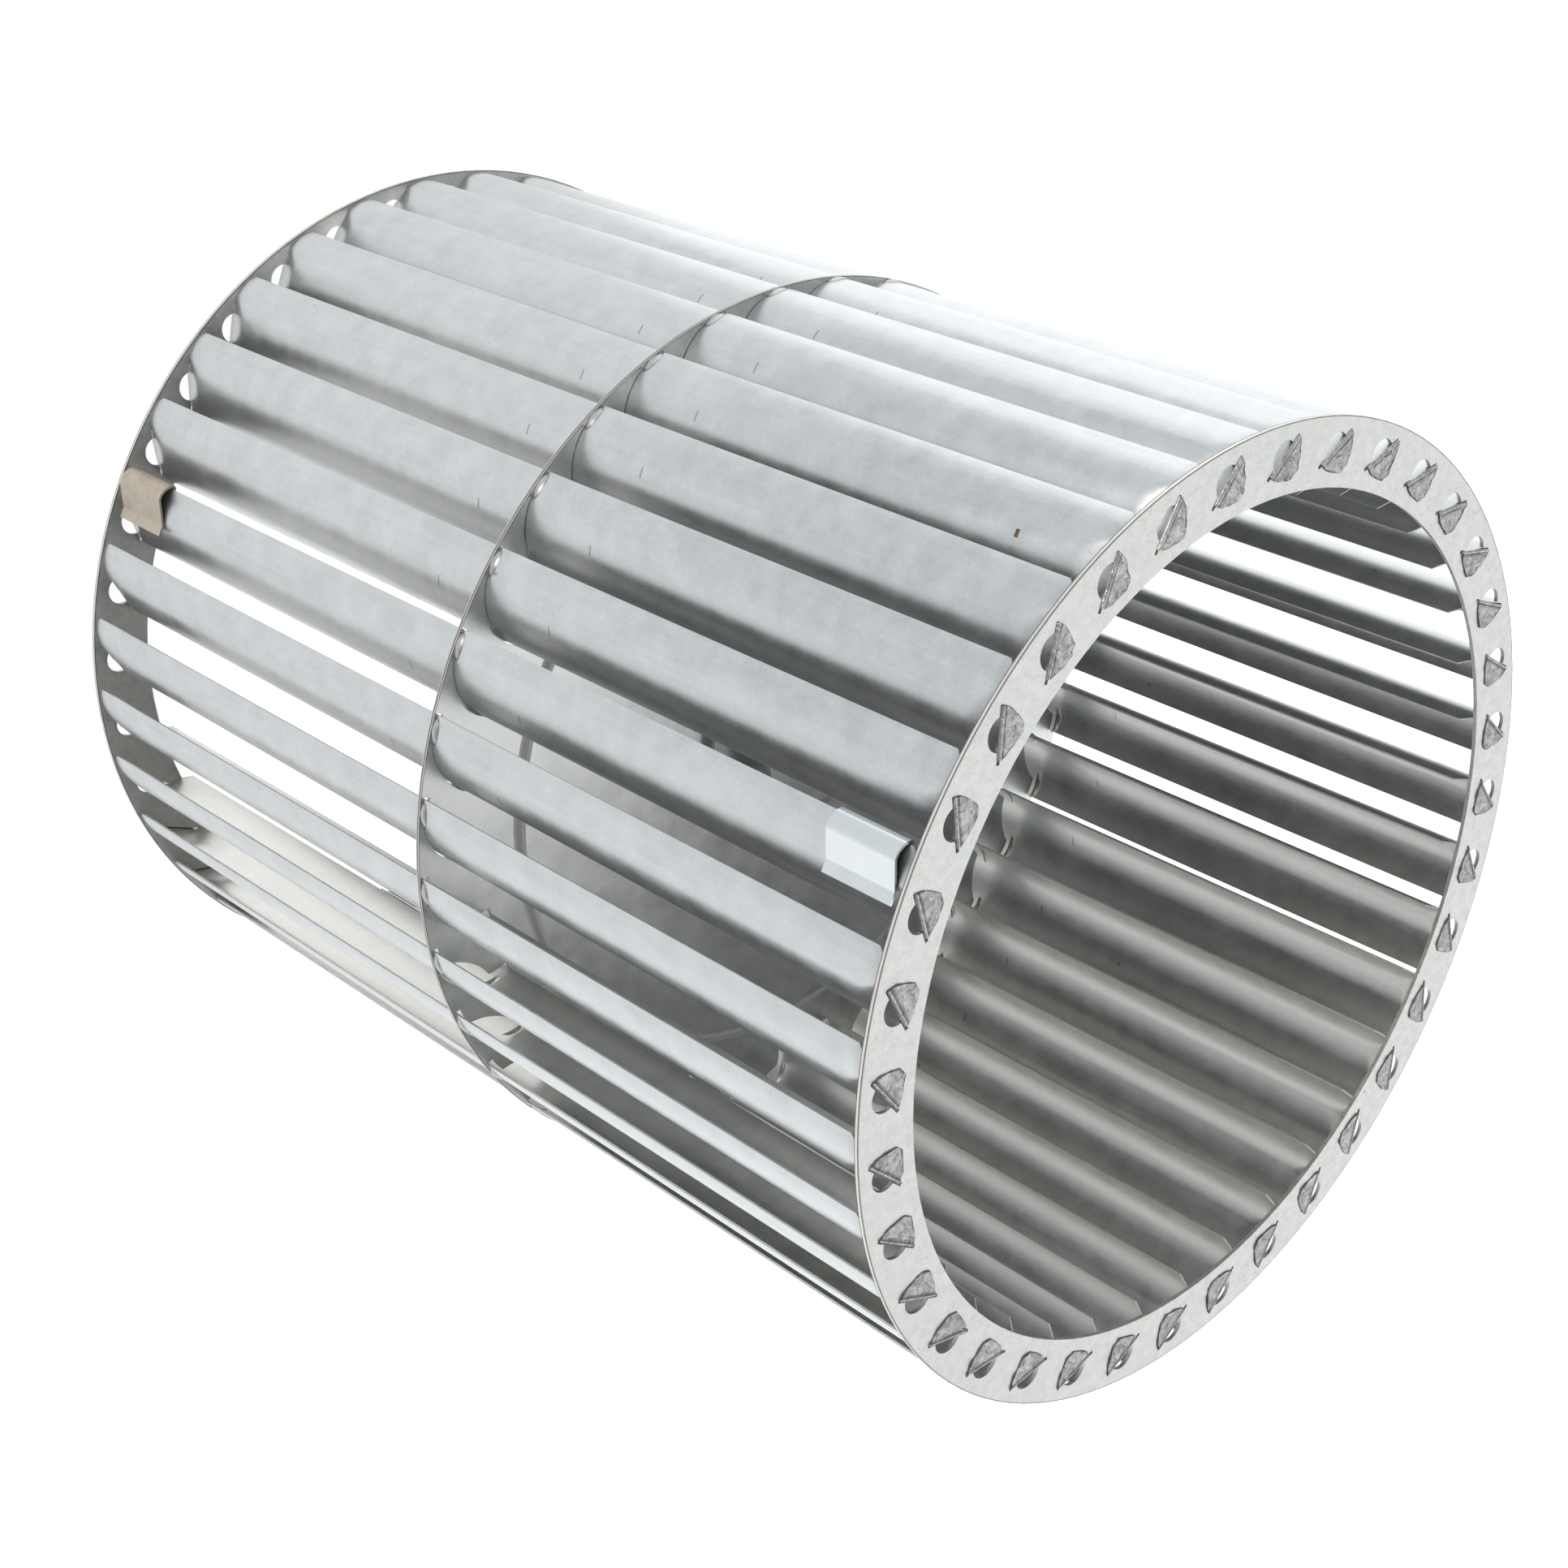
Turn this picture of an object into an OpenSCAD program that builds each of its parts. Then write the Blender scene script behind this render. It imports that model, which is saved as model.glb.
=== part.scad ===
// Double-inlet blower wheel: curved sheet blades threaded through a slotted centre disc,
// with their end tabs folded flat over two slotted end rings.
// The wheel stands on its back ring. Z runs along the axis, and the origin lies under the centre.

/* [Wheel] */
// Outer diameter of the end rings and of the centre disc
wheel_d = 240; // [190:1:320]
// Width across the outer faces of the two end rings
wheel_w = 290; // [180:1:420]
// Number of blades round the wheel
blade_count = 36; // [24:1:40]
// Width of metal left between a disc slot and the disc's rim
rim_web = 0.3; // [0.2:0.1:2]

/* [Blades] */
// Straight distance between a blade's two long edges
blade_chord = 26.3; // [22:0.1:28]
// Radius of a blade's outer, convex face
blade_arc_r = 15.9; // [14.8:0.1:20]
// Angle between a blade's chord and the wheel's tangent
blade_tilt = 43; // [38:1:50]
// Thickness of the blade sheet
blade_t = 0.5; // [0.4:0.05:0.8]
// Cut-off at the two outer corners of a blade
tip_corner = 1.5; // [0.5:0.1:3]
// Cut-off at the two inner corners of a blade
heel_corner = 2.5; // [0.5:0.1:4]

/* [Tabs] */
// Width of a blade's end tab
tab_w = 12.4; // [9:0.1:13]
// Reach of a folded tab, from its bend to its point
tab_reach = 6.8; // [5:0.1:8]
// Width of the blunt point of a tab
tab_point_w = 2.6; // [1:0.1:5]
// Depth of a tab's sides before its corners are cut
tab_side = 2.9; // [1.5:0.1:4]
// Narrowing of a tab's sides on each side
tab_taper = 0.5; // [0.1:0.1:1.5]
// Shift of a tab from the middle of the chord towards the heel
tab_shift = 1.1; // [0:0.1:2]
// Height of the flattened tab root above the blade's chord
root_rise = 4.9; // [4:0.1:5.5]
// Length over which a blade's curve is pressed flat towards its tab
press_len = 7; // [4:0.5:12]

/* [End rings] */
// Width of a ring's flat band
ring_band = 16.2; // [15.6:0.1:20]
// Thickness of the ring sheet
ring_t = 1; // [0.6:0.1:1.5]
// Radius of the round bulge on the convex side of each ring slot
bulge_r = 4.05; // [3:0.05:4.5]
// Distance from the bulge's centre to the tab's outer face
bulge_drop = 0.7; // [0.2:0.1:1.5]

/* [Centre disc] */
// Thickness of the disc sheet
disc_t = 1; // [0.6:0.1:1.5]
// Diameter of the pressed step in the disc
step_d = 181; // [100:1:184]
// Height of the pressed step in the disc
step_h = 1; // [0.5:0.1:2]
// Width of the arms of each disc slot
slot_arm = 2.3; // [1.6:0.1:3]
// Height of the slot's bowed inner side above the chord
slot_sill = 0.9; // [0.5:0.1:2]
// Radius of the slot's bowed inner side
slot_sill_r = 19; // [16:0.5:30]

/* [Staked locks] */
// Radius of the bead pressed out of the blade beside the disc
stake_r = 1.5; // [1.2:0.1:1.8]
// Height of the bead above the blade's convex face
stake_rise = 0.6; // [0.5:0.05:0.8]
// Length of the bead along the blade's curve
stake_len = 7; // [5:0.5:9]
// Distance from the blade's outer edge to the outer bead
stake_edge = 0.5; // [0.2:0.1:2]
// Angle from the blade's crown to the middle of the inner bead
inner_stake_angle = 28; // [20:1:34]

/* [Hub] */
// Bore for the motor shaft
hub_bore = 12.7; // [8:0.1:20]
// Diameter of the hub's barrel
barrel_d = 38; // [34:0.5:42]
// Diameter of the hub's flange
flange_d = 60; // [58:0.5:80]
// Thickness of the hub's flange
flange_t = 3; // [2:0.5:5]
// Length of the barrel in front of the disc
barrel_front = 12; // [6:0.5:25]
// Length of the barrel behind the disc
barrel_back = 22; // [16:0.5:40]
// Bevel on the hub's edges
hub_bevel = 1; // [0.3:0.1:1.5]

/* [Rivets and set screw] */
// Number of rivets that hold the hub
rivet_count = 6; // [3:1:8]
// Diameter of a rivet's shank
rivet_d = 5; // [3:0.5:5.5]
// Diameter of a rivet's head
rivet_head_d = 8.5; // [7:0.5:9]
// Height of a rivet's head
rivet_head_h = 2; // [1:0.1:2.5]
// Diameter of the set screw
screw_d = 8; // [5:0.5:9]
// Length of the set screw
screw_len = 10; // [6:0.5:12]
// Width across the flats of the set screw's hexagon socket
socket_w = 4; // [2:0.5:4]
// Depth of the set screw's hexagon socket
socket_depth = 4; // [2:0.5:5]
// Distance from the wall of the bore to the tip of the set screw
screw_inset = 0.2; // [0.1:0.1:1]

/* [Balance clips] */
// Blade that carries the two clips, counted clockwise from the front
clip_blade = 30; // [1:1:40]
// Length of a clip along the blade
clip_len = 19; // [12:0.5:25]
// Thickness of the clip sheet
clip_t = 0.6; // [0.4:0.05:0.8]
// Distance from the front clip to the front ring
front_clip_gap = 2.4; // [2:0.1:20]
// Distance from the back clip to the back ring
back_clip_gap = 2.6; // [2:0.1:20]

/* [Clearances] */
// Gap between a blade's convex face and its slot in the disc
slot_gap = 0.25; // [0.15:0.05:0.4]
// Gap round a tab in its ring slot
slit_gap = 0.2; // [0.15:0.05:0.3]
// Open end of a ring slot past the tab's heel side
slit_end = 0.6; // [0.3:0.1:1]
// Gap between a balance clip and its blade
clip_gap = 0.1; // [0.05:0.05:0.3]
// Gap between the hub's barrel and the disc
hub_gap = 0.1; // [0.05:0.05:0.3]
// Gap round a rivet shank and round the set screw
pin_gap = 0.1; // [0.05:0.05:0.2]

/* [Hidden] */
$fn = 96;
cut = 1;
steel = [0.78, 0.80, 0.81];
ring_steel = [0.82, 0.82, 0.80];
hub_steel = [0.62, 0.63, 0.64];
black_steel = [0.25, 0.25, 0.26];
bright_zinc = [0.88, 0.91, 0.92];
tan_zinc = [0.74, 0.68, 0.60];

wheel_r = wheel_d / 2;
pitch = 360 / blade_count;

// Heights along the axis, from the faces of the back tabs that the wheel stands on
back_ring_z = blade_t;
blade_z = back_ring_z + ring_t;
blade_len = wheel_w - 2 * ring_t;
front_ring_z = blade_z + blade_len;
disc_z = blade_z + (blade_len - disc_t) / 2;
hub_seat_z = disc_z + disc_t + step_h;

// Blade section, in a frame with X along the chord towards the tip and Y towards the convex side
half_chord = blade_chord / 2;
inner_arc_r = blade_arc_r - blade_t;
arc_centre_y = -sqrt(pow(blade_arc_r, 2) - pow(half_chord, 2));
crown_y = arc_centre_y + blade_arc_r;
arc_half = asin(half_chord / blade_arc_r);
// The curve's centre lies so far in that the disc slot clears the rim, which places the chord
curve_centre_r = wheel_r - rim_web - slot_gap - blade_arc_r;
chord_r = sqrt(pow(curve_centre_r, 2) - pow(arc_centre_y * sin(blade_tilt), 2))
    - arc_centre_y * cos(blade_tilt);
press_angle = atan((crown_y - root_rise) / press_len);

// Circle on which the rivets lie, midway between the barrel and the flange's edge
rivet_circle_r = (barrel_d + flange_d) / 4;
// Middle of the barrel behind the disc, where the set screw enters
screw_z = hub_seat_z - disc_t - barrel_back / 2;

// Outer radius of the bead's own curve, which is tighter than the blade's
stake_half = stake_len / 2;
stake_sag = blade_arc_r - sqrt(pow(blade_arc_r, 2) - pow(stake_half, 2)) + stake_rise;
stake_curve_r = (pow(stake_half, 2) + pow(stake_sag, 2)) / (2 * stake_sag);
outer_stake_angle = arc_half - arc_degrees(stake_edge + stake_half);

// Balance clip: angles from the crown of the blade's curve, and rises above its convex face
clip_bulge = 0.5;
clip_bend_r = blade_t / 2 + clip_gap + clip_t / 2 + clip_bulge;
clip_crease_angle = 40;
clip_crease_rise = 1.3;
clip_kink_angle = 18;
clip_lip_angle = 6.5;
clip_lip_rise = 1.3;
clip_seat_angle = arc_half - 12;
clip_back_angle = 33;

function blade_name(i) = str("blade_", i < 10 ? "0" : "", i);
function on_curve(r, a) = [r * sin(a), arc_centre_y + r * cos(a)];
function arc_degrees(length) = length / blade_arc_r * 180 / PI;

OTHERS = ["front_ring", "back_ring", "centre_disc", "hub", "hub_rivets", "hub_set_screw",
    "front_balance_clip", "back_balance_clip"];

// Places its children in the frame of blade i
module on_blade(i) {
    rotate([0, 0, -(i - 1) * pitch])
        translate([0, chord_r, 0])
            rotate([0, 0, blade_tilt])
                children();
}

// Turns its children clockwise about the centre of the blade's curve
module along_curve(a) {
    translate([0, arc_centre_y])
        rotate([0, 0, -a])
            translate([0, -arc_centre_y])
                children();
}

// Pie slice about the centre of the blade's curve
module arc_wedge(half, r) {
    translate([0, arc_centre_y])
        polygon([[0, 0], [2 * r * sin(half), 2 * r * cos(half)], [2 * r * sin(half), 3 * r],
            [-2 * r * sin(half), 3 * r], [-2 * r * sin(half), 2 * r * cos(half)]]);
}

// Band between two radii about the centre of the blade's curve, from angle a0 to a1
module arc_band(r_in, r_out, a0, a1) {
    intersection() {
        translate([0, arc_centre_y])
            difference() {
                circle(r = r_out);
                circle(r = r_in);
            }
        along_curve((a0 + a1) / 2)
            arc_wedge((a1 - a0) / 2, r_out);
    }
}

// Puts its children at both ends of the blade body
module at_both_ends() {
    children();
    translate([0, 0, blade_len])
        mirror([0, 0, 1])
            children();
}

// Everything above the sloping plane that presses the blade's curve flat at its end
module press_cutter(sink) {
    translate([-blade_chord, root_rise - sink, 0])
        rotate([-press_angle, 0, 0])
            translate([0, 0, -2 * cut])
                cube([2 * blade_chord, blade_chord, 3 * press_len]);
}

// Triangle that bevels a corner of the blade, beside the long edge at angle a
module corner_cutter(a, size) {
    side = a > 0 ? 1 : -1;
    along_curve(a)
        translate([0, crown_y - blade_t / 2, 0])
            rotate([90, 0, 0])
                linear_extrude(height = 6 * blade_t, center = true)
                    polygon([[-side * (size + cut), -cut], [side * cut, -cut], [side * cut, size + cut]]);
}

// Curved sheet between the rings, with both ends pressed flat towards the tabs
module blade_body() {
    difference() {
        linear_extrude(height = blade_len)
            intersection() {
                translate([0, arc_centre_y])
                    circle(r = blade_arc_r);
                arc_wedge(arc_half, blade_arc_r);
            }
        at_both_ends()
            press_cutter(0);
        difference() {
            translate([0, arc_centre_y, -cut])
                cylinder(h = blade_len + 2 * cut, r = inner_arc_r);
            at_both_ends()
                press_cutter(blade_t);
        }
        at_both_ends() {
            corner_cutter(arc_half, tip_corner);
            corner_cutter(-arc_half, heel_corner);
        }
    }
}

// Tab root through the ring slot, with the bend that folds it over the ring's outer face
module tab_root() {
    bend_y = root_rise - blade_t - slit_gap;
    translate([-tab_shift - tab_w / 2, 0, 0])
        rotate([90, 0, 90])
            linear_extrude(height = tab_w) {
                translate([root_rise - blade_t, slit_gap - ring_t])
                    square([blade_t, ring_t - slit_gap]);
                translate([bend_y, slit_gap - ring_t])
                    intersection() {
                        difference() {
                            circle(r = slit_gap + blade_t);
                            circle(r = slit_gap);
                        }
                        translate([0, -2 * blade_t])
                            square([2 * blade_t, 2 * blade_t]);
                    }
            }
}

// Flat shield of the folded tab
module tab_face() {
    bend_y = root_rise - blade_t - slit_gap;
    point_y = root_rise - tab_reach;
    side_y = root_rise - tab_side;
    translate([-tab_shift, 0, -ring_t - blade_t])
        linear_extrude(height = blade_t)
            polygon([[-tab_w / 2, bend_y], [tab_taper - tab_w / 2, side_y], [-tab_point_w / 2, point_y],
                [tab_point_w / 2, point_y], [tab_w / 2 - tab_taper, side_y], [tab_w / 2, bend_y]]);
}

// Bead pressed out of the blade against the disc's front face, which locks the disc in place
module stake(bead_angle) {
    difference() {
        along_curve(bead_angle)
            translate([0, crown_y + stake_rise - stake_curve_r, 0])
                rotate_extrude()
                    translate([stake_curve_r - stake_r, stake_r / 2])
                        circle(r = stake_r);
        translate([0, arc_centre_y, -2 * stake_r])
            cylinder(h = 6 * stake_r, r = blade_arc_r - blade_t / 2);
        translate([-blade_chord, -blade_chord, -2 * stake_r])
            cube([3 * blade_chord, 3 * blade_chord, 2 * stake_r]);
    }
}

module blade(i) {
    color(steel)
        translate([0, 0, blade_z])
            on_blade(i) {
                blade_body();
                at_both_ends() {
                    tab_root();
                    tab_face();
                }
                translate([0, 0, disc_z + disc_t - blade_z]) {
                    stake(outer_stake_angle);
                    stake(-inner_stake_angle);
                }
            }
}

// Ring slot: a narrow slit for the tab root with a round bulge on the convex side
module ring_slot() {
    heel_x = -tab_shift - tab_w / 2 - slit_end;
    tip_x = -tab_shift + tab_w / 2 + slit_gap;
    translate([heel_x, root_rise - blade_t - slit_gap])
        square([tip_x - heel_x, blade_t + 2 * slit_gap]);
    intersection() {
        translate([-tab_shift, root_rise - bulge_drop])
            circle(r = bulge_r);
        translate([-tab_shift - bulge_r, root_rise])
            square([2 * bulge_r, 2 * bulge_r]);
    }
}

module end_ring(z) {
    color(ring_steel)
        translate([0, 0, z])
            difference() {
                cylinder(h = ring_t, r = wheel_r);
                translate([0, 0, -cut])
                    cylinder(h = ring_t + 2 * cut, r = wheel_r - ring_band);
                for (i = [1:blade_count])
                    translate([0, 0, -cut])
                        linear_extrude(height = ring_t + 2 * cut)
                            on_blade(i)
                                ring_slot();
            }
}

module front_ring() {
    end_ring(front_ring_z);
}

module back_ring() {
    end_ring(back_ring_z);
}

// Disc slot: two arms that follow the blade, joined by a D-shaped opening on its hollow side
module disc_slot() {
    end_angle = arc_half + arc_degrees(slot_gap);
    arc_band(blade_arc_r + slot_gap - slot_arm, blade_arc_r + slot_gap, -end_angle, end_angle);
    intersection() {
        translate([0, arc_centre_y])
            circle(r = blade_arc_r - slot_gap);
        translate([0, slot_sill + slot_sill_r])
            circle(r = slot_sill_r);
    }
}

// Sheet disc with its middle pressed forward in one step
module disc_sheet() {
    step_r = step_d / 2;
    bend = disc_t * tan(22.5);
    hole_r = barrel_d / 2 + hub_gap;
    rotate_extrude()
        polygon([[hole_r, step_h], [step_r - step_h, step_h], [step_r, 0], [wheel_r, 0],
            [wheel_r, disc_t], [step_r + bend, disc_t],
            [step_r - step_h + bend, step_h + disc_t], [hole_r, step_h + disc_t]]);
}

module centre_disc() {
    color(steel)
        translate([0, 0, disc_z])
            difference() {
                disc_sheet();
                for (i = [1:blade_count])
                    translate([0, 0, -cut])
                        linear_extrude(height = disc_t + step_h + 2 * cut)
                            on_blade(i)
                                disc_slot();
                translate([0, 0, step_h])
                    rivet_holes(disc_t);
            }
}

module at_rivets() {
    for (i = [0:rivet_count - 1])
        rotate([0, 0, (i + 0.5) * 360 / rivet_count])
            translate([rivet_circle_r, 0, 0])
                children();
}

module rivet_holes(depth) {
    at_rivets()
        translate([0, 0, -cut])
            cylinder(h = depth + 2 * cut, r = rivet_d / 2 + pin_gap);
}

module hub() {
    color(hub_steel)
        difference() {
            translate([0, 0, hub_seat_z])
                rotate_extrude()
                    polygon([[0, -disc_t - barrel_back],
                        [barrel_d / 2 - hub_bevel, -disc_t - barrel_back],
                        [barrel_d / 2, hub_bevel - disc_t - barrel_back],
                        [barrel_d / 2, 0], [flange_d / 2, 0], [flange_d / 2, flange_t - hub_bevel / 2],
                        [flange_d / 2 - hub_bevel / 2, flange_t], [barrel_d / 2, flange_t],
                        [barrel_d / 2, barrel_front - hub_bevel],
                        [barrel_d / 2 - hub_bevel, barrel_front], [0, barrel_front]]);
            translate([0, 0, hub_seat_z - disc_t - barrel_back - cut])
                cylinder(h = disc_t + barrel_back + barrel_front + 2 * cut, r = hub_bore / 2);
            translate([0, 0, hub_seat_z])
                rivet_holes(flange_t);
            translate([0, 0, screw_z])
                rotate([0, 90, 0])
                    cylinder(h = barrel_d, r = screw_d / 2 + pin_gap);
        }
}

// One round-headed rivet, with its shank through the flange and the disc
module rivet() {
    dome_r = (pow(rivet_head_d / 2, 2) + pow(rivet_head_h, 2)) / (2 * rivet_head_h);
    grip = flange_t + disc_t;
    translate([0, 0, -disc_t])
        cylinder(h = grip, r = rivet_d / 2);
    for (side = [0, 1])
        translate([0, 0, side == 1 ? flange_t : -disc_t])
            mirror([0, 0, 1 - side])
                intersection() {
                    translate([0, 0, rivet_head_h - dome_r])
                        sphere(r = dome_r);
                    cylinder(h = rivet_head_h, r = rivet_head_d / 2);
                }
}

module hub_rivets() {
    color(hub_steel)
        translate([0, 0, hub_seat_z])
            at_rivets()
                rivet();
}

// Grub screw, flush with the bore, with a hexagon socket at its outer end
module hub_set_screw() {
    color(black_steel)
        translate([hub_bore / 2 + screw_inset, 0, screw_z])
            rotate([0, 90, 0])
                difference() {
                    cylinder(h = screw_len, r = screw_d / 2);
                    translate([0, 0, screw_len - socket_depth])
                        cylinder(h = socket_depth + cut, r = socket_w / 2 / cos(30), $fn = 6);
                }
}

// Folded strip of clip sheet through a list of [radius, angle] points of its middle line
module strip(points) {
    last = len(points) - 1;
    polygon(concat([for (p = points) on_curve(p[0] + clip_t / 2, p[1])],
        [for (i = [last:-1:0]) on_curve(points[i][0] - clip_t / 2, points[i][1])]));
}

// Section of a clip: back leaf on the hollow side, bend round the tip, sprung front leaf and lip
module clip_section() {
    tip_r = blade_arc_r - blade_t / 2;
    back_r = inner_arc_r - clip_gap - clip_t / 2;
    strip([[tip_r + clip_bend_r, arc_half], [blade_arc_r + clip_crease_rise, clip_crease_angle],
        [blade_arc_r + clip_gap + clip_t / 2, clip_kink_angle],
        [blade_arc_r + clip_lip_rise, clip_lip_angle]]);
    intersection() {
        translate(on_curve(tip_r, arc_half))
            difference() {
                circle(r = clip_bend_r + clip_t / 2);
                circle(r = clip_bend_r - clip_t / 2);
            }
        translate(on_curve(tip_r, arc_half))
            rotate(-arc_half)
                translate([0, -2 * clip_bend_r])
                    square([2 * clip_bend_r, 4 * clip_bend_r]);
    }
    strip([[tip_r - clip_bend_r, arc_half], [back_r, clip_seat_angle]]);
    arc_band(back_r - clip_t / 2, back_r + clip_t / 2, clip_back_angle, clip_seat_angle);
}

module balance_clip(z, tint) {
    color(tint)
        on_blade(clip_blade)
            translate([0, 0, z])
                linear_extrude(height = clip_len)
                    clip_section();
}

module front_balance_clip() {
    balance_clip(front_ring_z - front_clip_gap - clip_len, bright_zinc);
}

module back_balance_clip() {
    balance_clip(blade_z + back_clip_gap, tan_zinc);
}

front_ring();
back_ring();
centre_disc();
hub();
hub_rivets();
hub_set_screw();
front_balance_clip();
back_balance_clip();
for (i = [1:blade_count])
    blade(i);
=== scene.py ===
"""Dresses a blower wheel of galvanised sheet for a studio picture."""

import math

import bpy
from mathutils import Euler, Matrix, Vector


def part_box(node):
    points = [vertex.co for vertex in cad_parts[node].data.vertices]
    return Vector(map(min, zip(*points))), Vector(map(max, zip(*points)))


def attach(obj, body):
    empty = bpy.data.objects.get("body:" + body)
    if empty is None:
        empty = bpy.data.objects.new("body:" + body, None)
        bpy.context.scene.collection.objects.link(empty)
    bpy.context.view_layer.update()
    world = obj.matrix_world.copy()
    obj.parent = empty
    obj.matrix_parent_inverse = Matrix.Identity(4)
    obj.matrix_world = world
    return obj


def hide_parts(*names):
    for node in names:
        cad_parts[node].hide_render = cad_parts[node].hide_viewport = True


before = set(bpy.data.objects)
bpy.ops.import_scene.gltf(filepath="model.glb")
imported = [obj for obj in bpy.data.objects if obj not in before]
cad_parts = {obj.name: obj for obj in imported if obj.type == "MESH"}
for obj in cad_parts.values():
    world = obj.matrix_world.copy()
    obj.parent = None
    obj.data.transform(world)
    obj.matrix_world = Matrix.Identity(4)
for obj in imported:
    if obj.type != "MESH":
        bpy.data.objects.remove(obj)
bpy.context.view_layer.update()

bl_info = {
    "name": "Blower wheel dressing",
    "version": (1, 0, 0),
    "blender": (4, 5, 0),
    "location": "3D View > Sidebar > Wheel",
    "description": "Gives a blower wheel its galvanised sheet, clips, hub and studio",
    "category": "Object",
}

BLADES = sorted(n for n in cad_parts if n.startswith("blade_"))
RINGS = ["front_ring", "back_ring"]
WHEEL_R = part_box("front_ring")[1].x
WHEEL_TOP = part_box("front_ring")[1].z


def mm(value):
    """Metres from millimetres."""
    return value / 1000.0


STEP_R = mm(90.2)
BLADE_APART = mm(40)  # distance between one unrolled blade's pattern and the next


def scaled(factor, colour):
    """A colour made lighter or darker."""
    return tuple(factor * c for c in colour)


# Materials

class Sheet:
    """Builds one material out of linked shader nodes."""

    def __init__(self, name, roughness, metallic=1.0, laid_flat=False):
        self.material = bpy.data.materials.new(name)
        self.material.use_nodes = True
        self.tree = self.material.node_tree
        self.tree.nodes.clear()
        self.output = self.add("ShaderNodeOutputMaterial")
        self.shader = self.add("ShaderNodeBsdfPrincipled")
        self.shader.inputs["Metallic"].default_value = metallic
        self.shader.inputs["Roughness"].default_value = roughness
        self.link(self.shader.outputs["BSDF"], self.output.inputs["Surface"])
        if laid_flat:
            self.place = self.stored("flat", "Vector")
        else:
            self.place = self.add("ShaderNodeTexCoord").outputs["Object"]

    def add(self, kind, **settings):
        """Adds a node with some of its settings."""
        node = self.tree.nodes.new(kind)
        for key, value in settings.items():
            setattr(node, key, value)
        return node

    def link(self, output, socket):
        self.tree.links.new(output, socket)

    def stored(self, name, output="Fac"):
        """Reads an attribute that is stored on the mesh."""
        return self.add("ShaderNodeAttribute", attribute_name=name).outputs[output]

    def part_of(self, axis):
        """One coordinate of the place on the piece."""
        node = self.add("ShaderNodeSeparateXYZ")
        self.link(self.place, node.inputs["Vector"])
        return node.outputs[axis]

    def radius(self, x, y):
        """Distance from the wheel's axis."""
        squares = self.maths("ADD", self.maths("MULTIPLY", x, x), self.maths("MULTIPLY", y, y))
        return self.maths("SQRT", squares)

    def near(self, value, target, reach):
        """1 where a value is within reach of the target, else 0."""
        gap = self.maths("ABSOLUTE", self.maths("SUBTRACT", value, target))
        return self.maths("LESS_THAN", gap, reach)

    def mapped(self, scale):
        """The place on the piece, scaled along each axis."""
        node = self.add("ShaderNodeMapping")
        node.inputs["Scale"].default_value = scale
        self.link(self.place, node.inputs["Vector"])
        return node.outputs["Vector"]

    def noise(self, scale, detail=3.0, rough=0.5, distortion=0.0):
        """Noise between 0 and 1, with its scale given along each axis."""
        node = self.add("ShaderNodeTexNoise")
        node.inputs["Scale"].default_value = 1.0
        node.inputs["Detail"].default_value = detail
        node.inputs["Roughness"].default_value = rough
        node.inputs["Distortion"].default_value = distortion
        self.link(self.mapped(scale), node.inputs["Vector"])
        return node.outputs["Fac"]

    def cells(self, scale):
        """Distance to the nearest of many scattered points, with their scale given along each axis."""
        node = self.add("ShaderNodeTexVoronoi", feature="F1")
        node.inputs["Scale"].default_value = 1.0
        self.link(self.mapped(scale), node.inputs["Vector"])
        return node.outputs["Distance"]

    def ramp(self, value, stops):
        """Grey or coloured ramp from a list of (position, value) pairs."""
        node = self.add("ShaderNodeValToRGB")
        elements = node.color_ramp.elements
        while len(elements) < len(stops):
            elements.new(1.0)
        for element, (position, colour) in zip(elements, stops):
            element.position = position
            element.color = (*colour, 1.0) if isinstance(colour, tuple) else (colour, colour, colour, 1.0)
        self.link(value, node.inputs["Fac"])
        return node.outputs["Color"]

    def mix(self, blend, factor, a, b):
        """Mixes two colours. Each input is a socket or a fixed value."""
        node = self.add("ShaderNodeMix", data_type="RGBA", blend_type=blend)
        for socket, value in ((node.inputs["Factor"], factor), (node.inputs[6], a), (node.inputs[7], b)):
            if isinstance(value, bpy.types.NodeSocket):
                self.link(value, socket)
            elif isinstance(value, (int, float)):
                socket.default_value = value
            else:
                socket.default_value = (*value, 1.0)
        return node.outputs[2]

    def maths(self, operation, a, b=None):
        """Works on one or two numbers. Each is a socket or a fixed value."""
        node = self.add("ShaderNodeMath", operation=operation)
        for socket, value in zip(node.inputs, (a, b)):
            if isinstance(value, bpy.types.NodeSocket):
                self.link(value, socket)
            elif value is not None:
                socket.default_value = value
        return node.outputs["Value"]

    def bump(self, height, strength, distance):
        node = self.add("ShaderNodeBump")
        node.inputs["Strength"].default_value = strength
        node.inputs["Distance"].default_value = distance
        self.link(height, node.inputs["Height"])
        self.link(node.outputs["Normal"], self.shader.inputs["Normal"])

    def paint(self, colour):
        self.link(colour, self.shader.inputs["Base Color"])

    def gloss(self, value):
        self.link(value, self.shader.inputs["Roughness"])


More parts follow.
